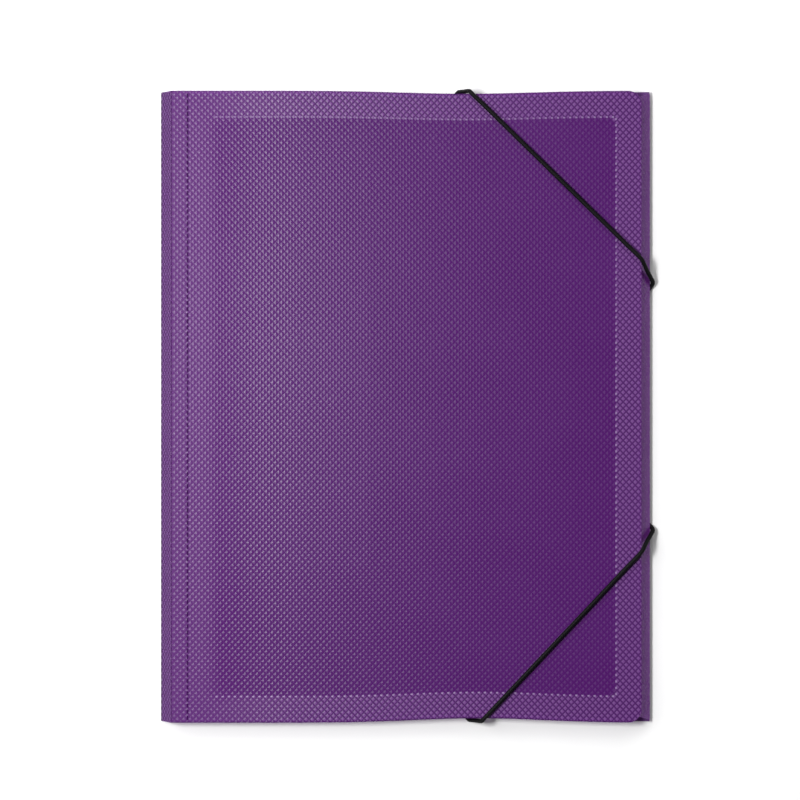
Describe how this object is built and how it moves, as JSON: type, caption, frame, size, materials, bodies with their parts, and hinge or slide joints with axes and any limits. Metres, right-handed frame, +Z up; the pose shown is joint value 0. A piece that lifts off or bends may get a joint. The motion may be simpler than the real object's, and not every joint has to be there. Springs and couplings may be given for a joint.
{
  "type": "elastic folder",
  "caption": "Flat plastic document folder with a hinged front cover, a side flap and two end flaps over the paper pocket, and elastic cords across two corners.",
  "frame": {"origin": "middle of the base of the closed folder, lying on its back", "axes": "+Z up through the cover, +Y to the top edge, +X to the open side, so the spine is at -X"},
  "size_m": [0.248, 0.3174, 0.0136],
  "materials": {
    "sheet": "translucent violet polypropylene, embossed with small diamonds",
    "cord": "black braid over a rubber core",
    "metal": "plain crimped steel"
  },
  "bodies": {
    "folder": {"folder_body": "sheet", "elastic_cord_top": "cord", "elastic_cord_bottom": "cord", "cord_end_top_edge": "metal", "cord_end_upper_side": "metal", "cord_end_bottom_edge": "metal", "cord_end_lower_side": "metal"},
    "cover": {"front_cover": "sheet"}
  },
  "joints": [
    {"name": "cover_hinge", "type": "hinge", "parent": "folder", "child": "cover", "pos_m": [-0.11024, 0, 0.01115], "axis": [0, -1, 0], "range_deg": [0, 180], "deforming": ["elastic_cord_top", "elastic_cord_bottom"]}
  ]
}
